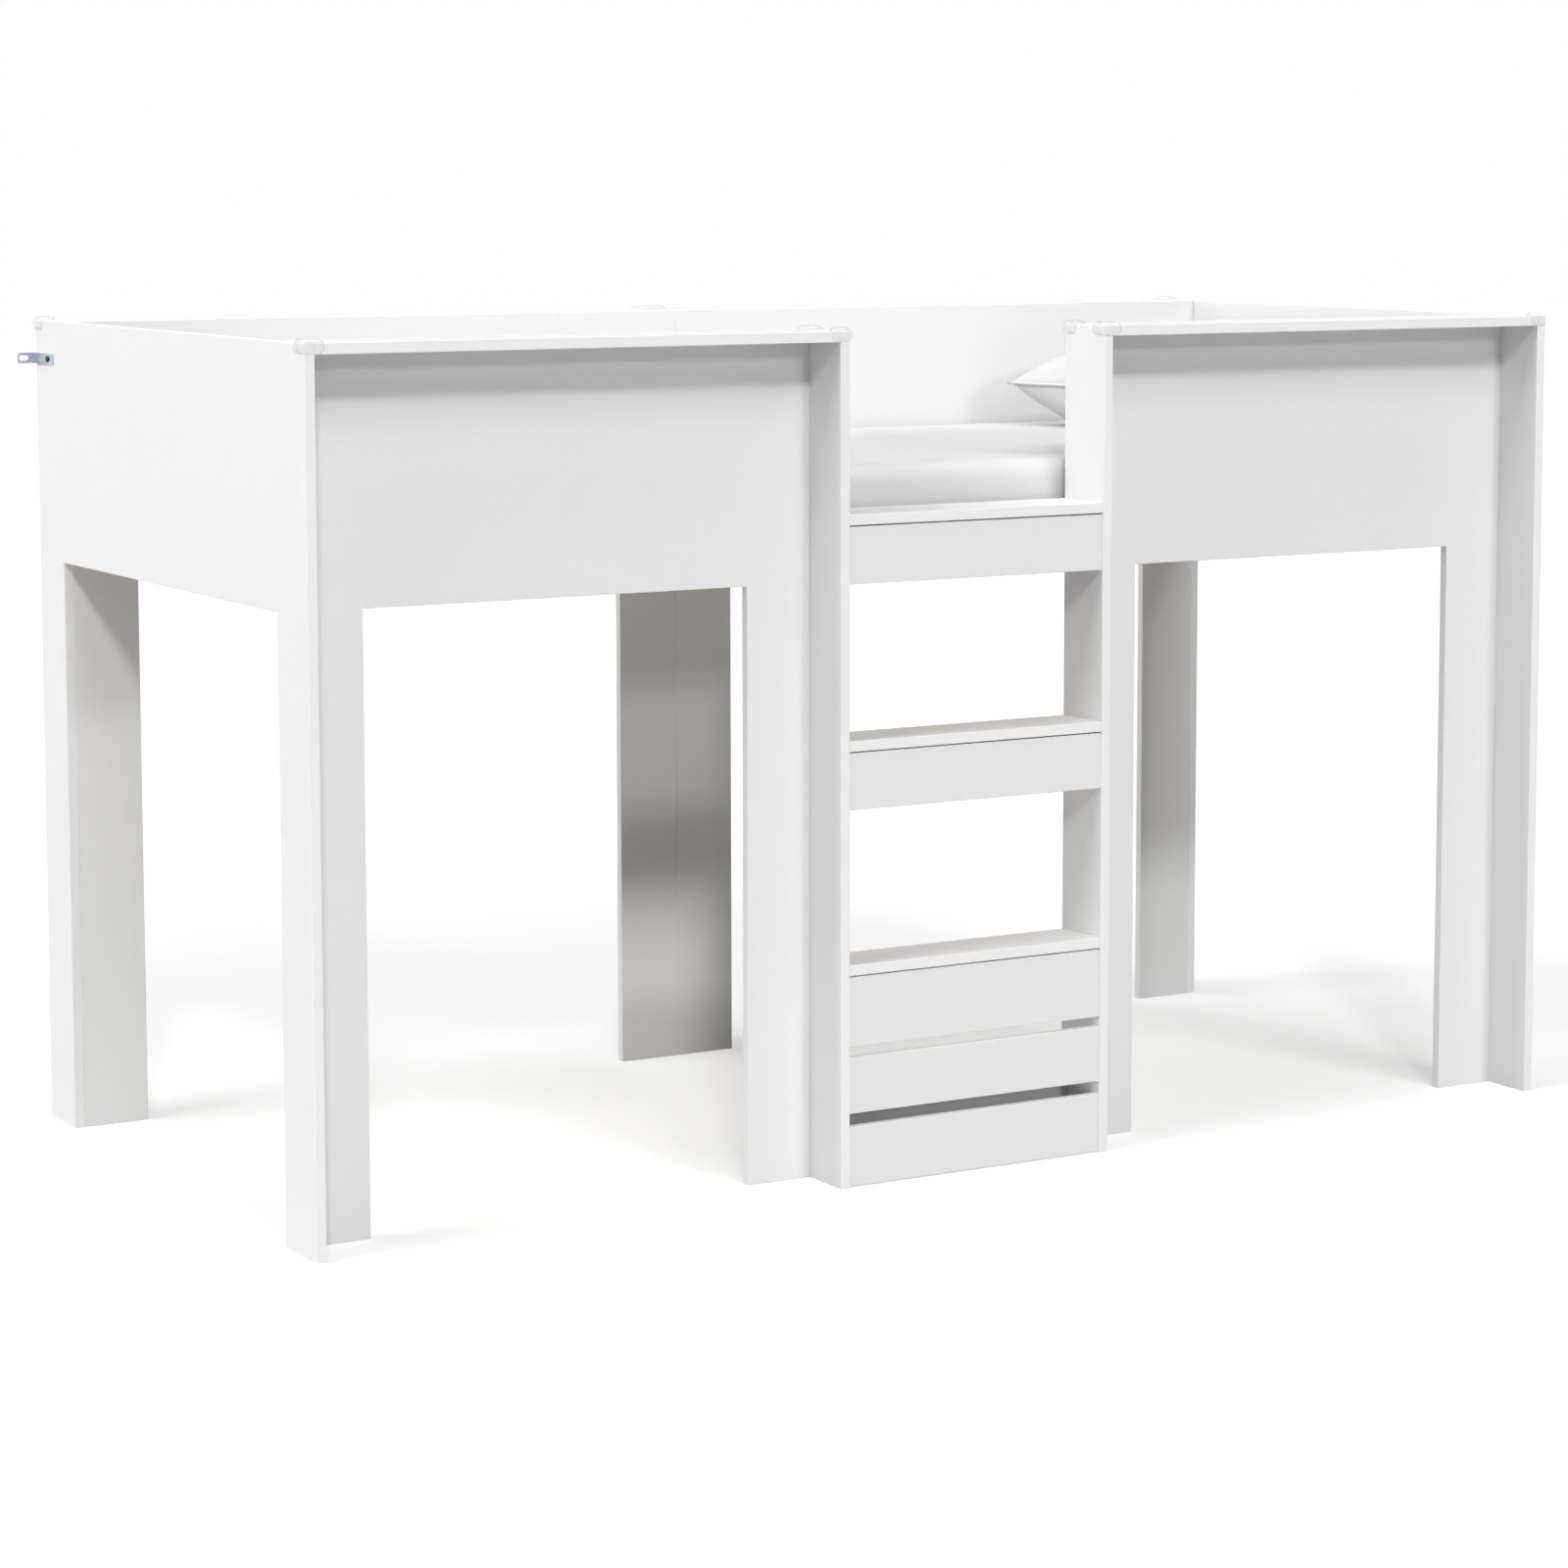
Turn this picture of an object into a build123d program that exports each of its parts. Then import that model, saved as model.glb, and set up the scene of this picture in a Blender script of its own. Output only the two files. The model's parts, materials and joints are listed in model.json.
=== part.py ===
from build123d import *
import os

# A children's low loft bed with a built-in step ladder, made of 15 mm boards. Millimetres.
# +X runs along the bed towards the pillow, -Y is the ladder side and +Z is up.
# The origin is the centre of the footprint, on the floor.

# ---- driving sizes ----
LENGTH = 2034.0
WIDTH = 1000.0
HEIGHT = 1198.0
BOARD = 15.0
LEG_WIDTH = 100.0
RECESS = 85.0
OPENING_TOP = 845.0
LADDER_CLEAR = 420.0
EDGE_ROUND = 1.0

# ---- steps of the ladder ----
TREAD_TOPS = {"bottom": 316.0, "middle": 631.0, "top": 946.0}
RISER_LOWS = {"bottom": 200.0, "middle": 534.0, "top": 849.0}
LOWER_TREAD_DEPTH = 90.0
SHADOW_GAP = 2.0
KICK_SLAT_Z = (105.0, 185.0)
KICK_BOARD_Z = (1.0, 86.0)
BACK_RAIL_TOP = 100.0

# ---- slatted base ----
CLEAT_THICK = 20.0
CLEAT_HEIGHT = 40.0
SLAT_COUNT = 13
SLAT_WIDTH = 70.0
SLAT_THICK = 16.0
SLAT_SIDE_GAP = 2.0
SLAT_END_MARGIN = 10.0

# ---- mattress and pillow ----
MATTRESS_SIZE = (1996.0, 786.0, 102.7)
MATTRESS_ROUND = 20.0
PILLOW_SIZE = (400.0, 600.0, 139.4)
PILLOW_ROUND = 62.0
PILLOW_CENTRE_X = 758.0
SOFT_GAP_BELOW = 0.3
PILLOW_GAP_BELOW = 0.6

# ---- clear corner guards ----
GUARD_OUT = 5.5
GUARD_TOP = 5.0
GUARD_SKIRT = BOARD
GUARD_FIT = 0.2
GUARD_ARM = 30.0
GUARD_END_ROUND = 10.0
GUARD_TOP_ROUND = 9.0
GUARD_FOOT_ROUND = 9.0

# ---- cam connectors and dowels ----
CAM_R = 7.5
CAM_POCKET_R = 7.6
CAM_REACH = 34.0
CAM_DEPTH = 12.2
CAM_POCKET_DEPTH = 12.6
CAM_SUNK = 0.2
CAM_HOLLOW_R = 3.9
CAM_SLOT = (9.0, 1.6, 2.5)
BOLT_THREAD_R = 2.45
BOLT_THREAD_LENGTH = 11.0
BOLT_SHANK_R = 3.0
BOLT_NECK_R = 2.2
BOLT_NECK_START = 28.0
BOLT_HEAD_START = 30.0
BOLT_HEAD_R = 3.6
BOLT_BORE_R = 4.0
THREAD_HOLE_R = 2.5
DOWEL_R = 4.0
DOWEL_HOLE_R = 4.05
DOWEL_SHALLOW = 10.0
DOWEL_DEEP = 20.0
HOLE_SPARE = 0.5
CUT_SPARE = 1.0

# ---- screws ----
SCREW_R = 1.75
SCREW_HOLE_R = 1.8
SCREW_HEAD_R = 4.0
SCREW_HEAD_DEPTH = 3.0
SCREW_LENGTH = 30.0
PAN_HEAD_R = 4.5
PAN_HEAD_HEIGHT = 2.5
PAN_LENGTH = 12.0
DRIVE_SIZE = (4.5, 1.2, 1.2)

# ---- steel brackets ----
STEEL = 2.0
WALL_BRACKET_LOW = 1134.0
WALL_BRACKET_WIDTH = 16.0
WALL_BRACKET_LONG = 75.0
WALL_BRACKET_SHORT = 29.5
WALL_SLOT = (14.0, 7.0)
WALL_SLOT_OUT = 19.6
SIDE_SLOT = (16.0, 7.0)
SIDE_SLOT_IN = 55.0
BEND_OUTER = 3.0
BEND_INNER = 1.0
FIN_BRACKET_ARM = 30.0
FIN_BRACKET_WIDTH = 20.0
FIN_HOLE_FROM_CORNER = 20.0
FIN_BRACKET_HEIGHTS = {-1: (200.0, 600.0, 1000.0), 1: (240.0, 640.0, 1040.0)}

# ---- derived planes ----
END_OUTER = LENGTH / 2
END_INNER = END_OUTER - BOARD
SIDE_OUTER = WIDTH / 2
PANEL_FRONT = SIDE_OUTER - RECESS
PANEL_BACK = PANEL_FRONT - BOARD
PANEL_MID = PANEL_FRONT - BOARD / 2
CAP_LOW = HEIGHT - BOARD
CAP_MID = HEIGHT - BOARD / 2
LADDER_INNER = LADDER_CLEAR / 2
LADDER_OUTER = LADDER_INNER + BOARD
RISER_FRONT = SIDE_OUTER - SHADOW_GAP
RISER_BACK = RISER_FRONT - BOARD
RISER_MID = RISER_FRONT - BOARD / 2
CLEAT_INNER = PANEL_BACK - CLEAT_THICK
SLAT_LOW = OPENING_TOP + CLEAT_HEIGHT
SLAT_TOP = SLAT_LOW + SLAT_THICK

# ---- places of the fasteners ----
UPRIGHT_CAMS = (120.0, 480.0, 940.0, 1130.0)
UPRIGHT_DOWELS = (60.0, 300.0, 700.0, 1040.0)
CAP_CAM_MARGIN = 150.0
CAP_DOWEL_MARGIN = 110.0
CAP_END_DOWEL_IN = 40.0
TREAD_CAM_IN = 45.0
TREAD_DOWELS_IN = (20.0, 75.0)
RAIL_DOWEL_OFFSET = 25.0
CLEAT_SCREW_PITCH = 200.0
CLEAT_SCREW_Z = OPENING_TOP + CLEAT_HEIGHT / 2

SIDES = {-1: "left", 1: "right"}
UP = (0, 0, 1)
DOWN = (0, 0, -1)

parts = {}
cuts = {}
fasteners = {}


# ---- basic shapes ----
def block(x, y, z):
    """A box between two corners, each axis given as a (low, high) pair."""
    spans = [sorted(pair) for pair in (x, y, z)]
    centre = [sum(pair) / 2 for pair in spans]
    return Pos(*centre) * Box(*[high - low for low, high in spans])


def board(name, x, y, z):
    """A plain board with lightly rounded edges."""
    blank = block(x, y, z)
    parts[name] = fillet(blank.edges(), EDGE_ROUND)


def portal(name, x, y, z, opening, thickness_axis):
    """A board with an opening cut from its foot upwards, which leaves two legs."""
    blank = block(x, y, z) - block(*opening)
    broad_edges = blank.edges().filter_by(thickness_axis, reverse=True)
    parts[name] = fillet(broad_edges, EDGE_ROUND)


def rod(radius, start, end):
    """A round bar along the local x axis."""
    return Pos((start + end) / 2, 0, 0) * Rot(0, 90, 0) * Cylinder(radius, end - start)


def disc(radius, x, low, high):
    """A round bar along the local z axis, standing at the given x."""
    return Pos(x, 0, (low + high) / 2) * Cylinder(radius, high - low)


def cut(name, shape):
    cuts.setdefault(name, []).append(shape)


def fastener(group, shape):
    fasteners.setdefault(group, []).append(shape)


# ---- fasteners: local x runs into board a from its edge, local z out of its accessible face ----
def make_cam():
    """The slotted disc that pulls the bolt's head in."""
    face = BOARD / 2 - CAM_SUNK
    body = disc(CAM_R, CAM_REACH, face - CAM_DEPTH, face)
    hollow = rod(CAM_HOLLOW_R, CAM_REACH - CAM_R - CUT_SPARE, CAM_REACH + HOLE_SPARE)
    slot = Pos(CAM_REACH, 0, face) * Box(*CAM_SLOT)
    return body - hollow - slot


def make_cam_bolt():
    thread = rod(BOLT_THREAD_R, -BOLT_THREAD_LENGTH, 0)
    shank = rod(BOLT_SHANK_R, 0, BOLT_NECK_START)
    neck = rod(BOLT_NECK_R, BOLT_NECK_START, BOLT_HEAD_START)
    head = rod(BOLT_HEAD_R, BOLT_HEAD_START, CAM_REACH)
    return thread + shank + neck + head


def make_dowel():
    plain = rod(DOWEL_R, -DOWEL_SHALLOW, DOWEL_DEEP)
    return chamfer(plain.edges().filter_by(GeomType.CIRCLE), EDGE_ROUND)


CAM = make_cam()
CAM_BOLT = make_cam_bolt()
DOWEL = make_dowel()


def frame_at(origin, into_a, face):
    return Plane(origin, x_dir=into_a, z_dir=face).location


def cam_joint(a, b, origin, into_a, face):
    """Board a, whose edge meets board b, is pulled tight by a cam in its accessible face."""
    at = frame_at(origin, into_a, face)
    pocket_floor = BOARD / 2 - CAM_POCKET_DEPTH
    cut(a, at * disc(CAM_POCKET_R, CAM_REACH, pocket_floor, BOARD / 2 + CUT_SPARE))
    cut(a, at * rod(BOLT_BORE_R, -CUT_SPARE, CAM_REACH))
    cut(b, at * rod(THREAD_HOLE_R, -BOLT_THREAD_LENGTH - HOLE_SPARE, CUT_SPARE))
    fastener("cam_discs", at * CAM)
    fastener("cam_bolts", at * CAM_BOLT)


def dowel_joint(a, b, origin, into_a, face):
    at = frame_at(origin, into_a, face)
    cut(a, at * rod(DOWEL_HOLE_R, -CUT_SPARE, DOWEL_DEEP + HOLE_SPARE))
    cut(b, at * rod(DOWEL_HOLE_R, -DOWEL_SHALLOW - HOLE_SPARE, CUT_SPARE))
    fastener("dowels", at * DOWEL)


def make_screw():
    """A countersunk screw along the local x axis, its head flush at x = 0."""
    shank = rod(SCREW_R, SCREW_HEAD_DEPTH, SCREW_LENGTH)
    cone = Cone(SCREW_R, SCREW_HEAD_R, SCREW_HEAD_DEPTH)
    head = Pos(SCREW_HEAD_DEPTH / 2, 0, 0) * Rot(0, -90, 0) * cone
    drive = Box(DRIVE_SIZE[2], DRIVE_SIZE[0], DRIVE_SIZE[1])
    cross_drive = Box(DRIVE_SIZE[2], DRIVE_SIZE[1], DRIVE_SIZE[0])
    return shank + head - drive - cross_drive


def make_screw_hole():
    shank = rod(SCREW_HOLE_R, 0, SCREW_LENGTH + HOLE_SPARE)
    spare = SCREW_HOLE_R - SCREW_R
    depth = SCREW_HEAD_DEPTH + spare
    cone = Cone(SCREW_R, SCREW_HEAD_R + spare, depth)
    return shank + Pos(depth / 2, 0, 0) * Rot(0, -90, 0) * cone


SCREW = make_screw()
SCREW_HOLE = make_screw_hole()


def countersunk_screw(group, boards, origin, direction):
    """A screw that runs from the face of the first board into the second one."""
    side = UP if direction[2] == 0 else (1, 0, 0)
    at = frame_at(origin, direction, side)
    for name in boards:
        cut(name, at * SCREW_HOLE)
    fastener(group, at * SCREW)


def make_pan_screw():
    """A pan-head screw along the local x axis, its head's seat at x = 0."""
    head = rod(PAN_HEAD_R, -PAN_HEAD_HEIGHT, 0)
    head = fillet(head.edges().group_by(Axis.X)[0], EDGE_ROUND)
    drive = Pos(-PAN_HEAD_HEIGHT, 0, 0) * Box(DRIVE_SIZE[2], DRIVE_SIZE[0], DRIVE_SIZE[1])
    cross_drive = Pos(-PAN_HEAD_HEIGHT, 0, 0) * Box(DRIVE_SIZE[2], DRIVE_SIZE[1], DRIVE_SIZE[0])
    return head + rod(SCREW_R, 0, PAN_LENGTH) - drive - cross_drive


PAN_SCREW = make_pan_screw()


def bracket_screw(group, board_name, origin, direction):
    """A screw through a bracket, its seat on the bracket's outer face."""
    at = frame_at(origin, direction, UP)
    cut(board_name, at * rod(SCREW_HOLE_R, 0, PAN_LENGTH + HOLE_SPARE))
    fastener(group, at * PAN_SCREW)


# ---- boards ----
def end_panels():
    for side, word in SIDES.items():
        x = (side * END_INNER, side * END_OUTER)
        x_open = (side * (END_INNER - CUT_SPARE), side * (END_OUTER + CUT_SPARE))
        y_open = (-SIDE_OUTER + LEG_WIDTH, SIDE_OUTER - LEG_WIDTH)
        opening = (x_open, y_open, (-CUT_SPARE, OPENING_TOP))
        portal(f"{word}_end_panel", x, (-SIDE_OUTER, SIDE_OUTER), (0, HEIGHT), opening, Axis.X)


def long_panels(row, face, inner_x):
    """Two U-shaped panels on one long side, from the end panels to inner_x."""
    y = (face * PANEL_BACK, face * PANEL_FRONT)
    y_open = (face * (PANEL_BACK - CUT_SPARE), face * (PANEL_FRONT + CUT_SPARE))
    for side, word in SIDES.items():
        x_open = (side * (inner_x + LEG_WIDTH), side * (END_INNER - LEG_WIDTH))
        opening = (x_open, y_open, (-CUT_SPARE, OPENING_TOP))
        panel = f"{row}_{word}_panel"
        cap = f"{row}_{word}_cap"
        x = (side * inner_x, side * END_INNER)
        portal(panel, x, y, (0, HEIGHT), opening, Axis.Y)
        board(cap, x, (face * PANEL_FRONT, face * SIDE_OUTER), (CAP_LOW, HEIGHT))
        end = f"{word}_end_panel"
        panel_edge = side * END_INNER
        for z in UPRIGHT_CAMS:
            cam_joint(panel, end, (panel_edge, face * PANEL_MID, z), (-side, 0, 0), (0, 1, 0))
        for z in UPRIGHT_DOWELS:
            dowel_joint(panel, end, (panel_edge, face * PANEL_MID, z), (-side, 0, 0), (0, 1, 0))
        for x in (inner_x + CAP_CAM_MARGIN, END_INNER - CAP_CAM_MARGIN):
            cam_joint(cap, panel, (side * x, face * PANEL_FRONT, CAP_MID), (0, face, 0), DOWN)
        middle_x = (inner_x + END_INNER) / 2
        for x in (inner_x + CAP_DOWEL_MARGIN, middle_x, END_INNER - CAP_DOWEL_MARGIN):
            dowel_joint(cap, panel, (side * x, face * PANEL_FRONT, CAP_MID), (0, face, 0), DOWN)
        dowel_y = face * (SIDE_OUTER - CAP_END_DOWEL_IN)
        dowel_joint(cap, end, (panel_edge, dowel_y, CAP_MID), (-side, 0, 0), DOWN)


def ladder_sides():
    for side, word in SIDES.items():
        upright = f"ladder_side_{word}"
        x = (side * LADDER_INNER, side * LADDER_OUTER)
        board(upright, x, (-SIDE_OUTER, -PANEL_BACK), (0, HEIGHT))
        panel_edge = side * LADDER_OUTER
        for z in UPRIGHT_CAMS:
            place = (panel_edge, -PANEL_MID, z)
            cam_joint(f"front_{word}_panel", upright, place, (side, 0, 0), (0, 1, 0))
        for z in UPRIGHT_DOWELS:
            place = (panel_edge, -PANEL_MID, z)
            dowel_joint(f"front_{word}_panel", upright, place, (side, 0, 0), (0, 1, 0))
        cap_dowel = (panel_edge, -SIDE_OUTER + CAP_END_DOWEL_IN, CAP_MID)
        dowel_joint(f"front_{word}_cap", upright, cap_dowel, (side, 0, 0), DOWN)


def treads():
    for name, top in TREAD_TOPS.items():
        depth = LEG_WIDTH if name == "top" else LOWER_TREAD_DEPTH
        tread = f"tread_{name}"
        y = (-SIDE_OUTER, -SIDE_OUTER + depth)
        board(tread, (-LADDER_INNER, LADDER_INNER), y, (top - BOARD, top))
        for side, word in SIDES.items():
            upright = f"ladder_side_{word}"
            edge = side * LADDER_INNER
            middle = top - BOARD / 2
            cam_joint(tread, upright, (edge, -SIDE_OUTER + TREAD_CAM_IN, middle), (-side, 0, 0), DOWN)
            for inwards in TREAD_DOWELS_IN:
                dowel_joint(tread, upright, (edge, -SIDE_OUTER + inwards, middle), (-side, 0, 0), DOWN)


def ladder_rail(name, y, z, face):
    """An upright board between the ladder sides, with a cam and two dowels at each end."""
    board(name, (-LADDER_INNER, LADDER_INNER), y, z)
    middle = sum(z) / 2
    for side, word in SIDES.items():
        upright = f"ladder_side_{word}"
        end = (side * LADDER_INNER, sum(y) / 2)
        cam_joint(name, upright, (*end, middle), (-side, 0, 0), face)
        for offset in (-RAIL_DOWEL_OFFSET, RAIL_DOWEL_OFFSET):
            dowel_joint(name, upright, (*end, middle + offset), (-side, 0, 0), face)


def ladder_rails():
    front_y = (-RISER_FRONT, -RISER_BACK)
    for name, low in RISER_LOWS.items():
        high = TREAD_TOPS[name] - BOARD - SHADOW_GAP
        ladder_rail(f"riser_{name}", front_y, (low, high), (0, 1, 0))
    ladder_rail("kick_slat", front_y, KICK_SLAT_Z, (0, 1, 0))
    ladder_rail("kick_board", front_y, KICK_BOARD_Z, (0, 1, 0))
    back_y = (-PANEL_FRONT, -PANEL_BACK)
    ladder_rail("ladder_back_rail", back_y, (0, BACK_RAIL_TOP), (0, 1, 0))
    entry_top = TREAD_TOPS["top"] - BOARD
    ladder_rail("entry_rail", back_y, (OPENING_TOP, entry_top), (0, -1, 0))


def back_centre():
    """The joint at mid-length: dowels across it, and a fin held by small angle brackets."""
    left_panel, right_panel = "back_left_panel", "back_right_panel"
    for z in UPRIGHT_DOWELS:
        dowel_joint(right_panel, left_panel, (0, PANEL_MID, z), (1, 0, 0), (0, 1, 0))
    cap_dowel = (0, SIDE_OUTER - CAP_END_DOWEL_IN, CAP_MID)
    dowel_joint("back_right_cap", "back_left_cap", cap_dowel, (1, 0, 0), DOWN)
    half = BOARD / 2
    board("back_centre_fin", (-half, half), (PANEL_FRONT, SIDE_OUTER), (0, CAP_LOW))
    brackets = []
    for side, word in SIDES.items():
        for z in FIN_BRACKET_HEIGHTS[side]:
            brackets.append(fin_bracket(side, z))
            on_panel = (side * (half + FIN_HOLE_FROM_CORNER), PANEL_FRONT + STEEL, z)
            on_fin = (side * (half + STEEL), PANEL_FRONT + FIN_HOLE_FROM_CORNER, z)
            bracket_screw("fin_bracket_screws", f"back_{word}_panel", on_panel, (0, -1, 0))
            bracket_screw("fin_bracket_screws", "back_centre_fin", on_fin, (-side, 0, 0))
    parts["fin_brackets"] = Compound([bracket.solid() for bracket in brackets])


def fin_bracket(side, z):
    """A small steel angle between the fin's face and the back of a panel's middle leg."""
    corner = side * BOARD / 2
    z_span = (z - FIN_BRACKET_WIDTH / 2, z + FIN_BRACKET_WIDTH / 2)
    across, plate_x = (corner, corner + side * FIN_BRACKET_ARM), (corner, corner + side * STEEL)
    on_panel = block(across, (PANEL_FRONT, PANEL_FRONT + STEEL), z_span)
    on_fin = block(plate_x, (PANEL_FRONT, PANEL_FRONT + FIN_BRACKET_ARM), z_span)
    hole = Cylinder(SCREW_HOLE_R, STEEL + 2 * CUT_SPARE)
    panel_place = Pos(corner + side * FIN_HOLE_FROM_CORNER, PANEL_FRONT + STEEL / 2, z)
    fin_place = Pos(corner + side * STEEL / 2, PANEL_FRONT + FIN_HOLE_FROM_CORNER, z)
    panel_hole = panel_place * Rot(90, 0, 0) * hole
    fin_hole = fin_place * Rot(0, 90, 0) * hole
    return on_panel + on_fin - panel_hole - fin_hole


# ---- slatted base ----
def cleats():
    z = (OPENING_TOP, SLAT_LOW)
    for word, face in (("front", -1), ("back", 1)):
        name = f"{word}_cleat"
        board(name, (-END_INNER, END_INNER), (face * CLEAT_INNER, face * PANEL_BACK), z)
        pair_count = int(END_INNER // CLEAT_SCREW_PITCH)
        for index in range(pair_count):
            for side, side_word in SIDES.items():
                x = side * CLEAT_SCREW_PITCH * (index + 1 / 2)
                behind = f"{word}_{side_word}_panel"
                if word == "front" and abs(x) < LADDER_INNER:
                    behind = "entry_rail"
                start = (x, face * CLEAT_INNER, CLEAT_SCREW_Z)
                countersunk_screw("cleat_screws", (name, behind), start, (0, face, 0))


def slats():
    first = -END_INNER + SLAT_END_MARGIN + SLAT_WIDTH / 2
    pitch = -2 * first / (SLAT_COUNT - 1)
    half_length = PANEL_BACK - SLAT_SIDE_GAP
    for index in range(SLAT_COUNT):
        x = first + index * pitch
        name = f"slat_{index + 1:02d}"
        span = (x - SLAT_WIDTH / 2, x + SLAT_WIDTH / 2)
        board(name, span, (-half_length, half_length), (SLAT_LOW, SLAT_TOP))
        for word, face in (("front", -1), ("back", 1)):
            start = (x, face * (CLEAT_INNER + PANEL_BACK) / 2, SLAT_TOP)
            countersunk_screw("slat_screws", (name, f"{word}_cleat"), start, DOWN)


# ---- soft parts ----
def soft_block(centre_x, size, low, radius):
    body = Pos(centre_x, 0, low + size[2] / 2) * Box(*size)
    return fillet(body.edges(), radius)


def bedding():
    mattress_low = SLAT_TOP + SOFT_GAP_BELOW
    parts["mattress"] = soft_block(0, MATTRESS_SIZE, mattress_low, MATTRESS_ROUND)
    pillow_low = mattress_low + MATTRESS_SIZE[2] + PILLOW_GAP_BELOW
    parts["pillow"] = soft_block(PILLOW_CENTRE_X, PILLOW_SIZE, pillow_low, PILLOW_ROUND)


# ---- clear corner guards ----
def guard_shell(low_x, high_x, far_round, far_corners, space):
    """A rounded cap of plastic, less the space that the board's corner fills."""
    body = block((low_x, high_x), (-GUARD_OUT, GUARD_ARM), (-GUARD_SKIRT, GUARD_TOP))
    far, near = [], []
    for edge in body.edges().filter_by(Axis.Z):
        corner = (edge.center().X > 0, edge.center().Y > 0)
        chosen = far if corner in far_corners else near
        chosen.append(edge)
    body = fillet(far, far_round)
    uprights = body.edges().filter_by(Axis.Z)
    body = fillet([edge for edge in uprights if matches_any(edge, near)], GUARD_END_ROUND)
    body = fillet(body.faces().sort_by(Axis.Z)[-1].edges(), GUARD_TOP_ROUND)
    body = fillet(body.faces().sort_by(Axis.Z)[0].edges(), GUARD_FOOT_ROUND)
    return body - space


def matches_any(edge, others):
    """True where an edge has the same middle as one of the others."""
    tolerance = BOARD / 1000
    return any((edge.center() - other.center()).length < tolerance for other in others)


def corner_guard():
    """The guard of an outer corner at the origin, with the bed's boards towards +x and +y."""
    inwards = (-GUARD_FIT, 2 * GUARD_ARM)
    space = block(inwards, inwards, (-2 * GUARD_SKIRT, GUARD_FIT))
    far_round = GUARD_ARM - CUT_SPARE
    return guard_shell(-GUARD_OUT, GUARD_ARM, far_round, [(True, True)], space)


def edge_guard():
    """The guard of a straight edge, centred on the origin, with the boards towards +y."""
    x = (-2 * GUARD_ARM, 2 * GUARD_ARM)
    space = block(x, (-GUARD_FIT, 2 * GUARD_ARM), (-2 * GUARD_SKIRT, GUARD_FIT))
    far_round = GUARD_ARM - GUARD_END_ROUND
    return guard_shell(-GUARD_ARM, GUARD_ARM, far_round, [(True, True), (False, True)], space)


def guards():
    guard = corner_guard()
    turns = {(1, 1): 0, (-1, 1): 90, (-1, -1): 180, (1, -1): 270}
    for side, word in SIDES.items():
        corners = {
            f"guard_front_{word}": (side * END_OUTER, -SIDE_OUTER, -side, 1),
            f"guard_back_{word}": (side * END_OUTER, SIDE_OUTER, -side, -1),
            f"guard_ladder_front_{word}": (side * LADDER_INNER, -SIDE_OUTER, side, 1),
            f"guard_ladder_back_{word}": (side * LADDER_INNER, -PANEL_BACK, side, -1),
        }
        for name, (x, y, into_x, into_y) in corners.items():
            parts[name] = Pos(x, y, HEIGHT) * Rot(0, 0, turns[into_x, into_y]) * guard
    parts["guard_back_middle"] = Pos(0, SIDE_OUTER, HEIGHT) * Rot(0, 0, 180) * edge_guard()


# ---- wall brackets ----
def round_upright(shape, place, radius):
    """Rounds the upright edge nearest to a place."""
    edge = shape.edges().filter_by(Axis.Z).sort_by_distance(place)[0]
    return fillet(edge, radius)


def wall_brackets():
    """Bent strips that hold the bed's back corners to the wall."""
    z = (WALL_BRACKET_LOW, WALL_BRACKET_LOW + WALL_BRACKET_WIDTH)
    z_mid = sum(z) / 2
    for side, word in SIDES.items():
        seat = side * END_OUTER
        outer = seat + side * STEEL
        along_end = block((seat, outer), (SIDE_OUTER - WALL_BRACKET_LONG, SIDE_OUTER), z)
        tip = seat + side * WALL_BRACKET_SHORT
        along_wall = block((seat, tip), (SIDE_OUTER - STEEL, SIDE_OUTER), z)
        strip = along_end + along_wall
        strip = round_upright(strip, (outer, SIDE_OUTER - STEEL, z_mid), BEND_INNER)
        strip = round_upright(strip, (seat, SIDE_OUTER, z_mid), BEND_OUTER)
        tip_edges = strip.edges().filter_by(Axis.Y).sort_by(Axis.X)
        foot_edges = strip.edges().filter_by(Axis.X).sort_by(Axis.Y)
        tips = tip_edges[-2:] if side > 0 else tip_edges[:2]
        strip = fillet(tips + foot_edges[:2], BEND_OUTER)
        wall_slot = extrude(SlotOverall(*WALL_SLOT), amount=STEEL * 2, both=True)
        side_slot = extrude(SlotOverall(*SIDE_SLOT), amount=STEEL * 2, both=True)
        wall_place = frame_at((seat + side * WALL_SLOT_OUT, SIDE_OUTER, z_mid), (1, 0, 0), (0, 1, 0))
        side_place = frame_at((seat, SIDE_OUTER - SIDE_SLOT_IN, z_mid), (0, 1, 0), (1, 0, 0))
        parts[f"wall_bracket_{word}"] = strip - wall_place * wall_slot - side_place * side_slot
        on_end = (outer, SIDE_OUTER - SIDE_SLOT_IN, z_mid)
        bracket_screw("wall_bracket_screws", f"{word}_end_panel", on_end, (-side, 0, 0))


def write_parts():
    os.makedirs("parts", exist_ok=True)
    for name, tools in cuts.items():
        parts[name] = parts[name] - tools
    for group, pieces in fasteners.items():
        parts[group] = Compound([piece.solid() for piece in pieces])
    for name, shape in parts.items():
        export_step(shape, f"parts/{name}.step")
        print(name, round(shape.volume))


end_panels()
long_panels("front", -1, LADDER_OUTER)
long_panels("back", 1, 0)
ladder_sides()
treads()
ladder_rails()
back_centre()
cleats()
slats()
bedding()
guards()
wall_brackets()
write_parts()
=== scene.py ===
import json
import math

import bmesh
import bpy
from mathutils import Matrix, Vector
from mathutils.bvhtree import BVHTree


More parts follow.
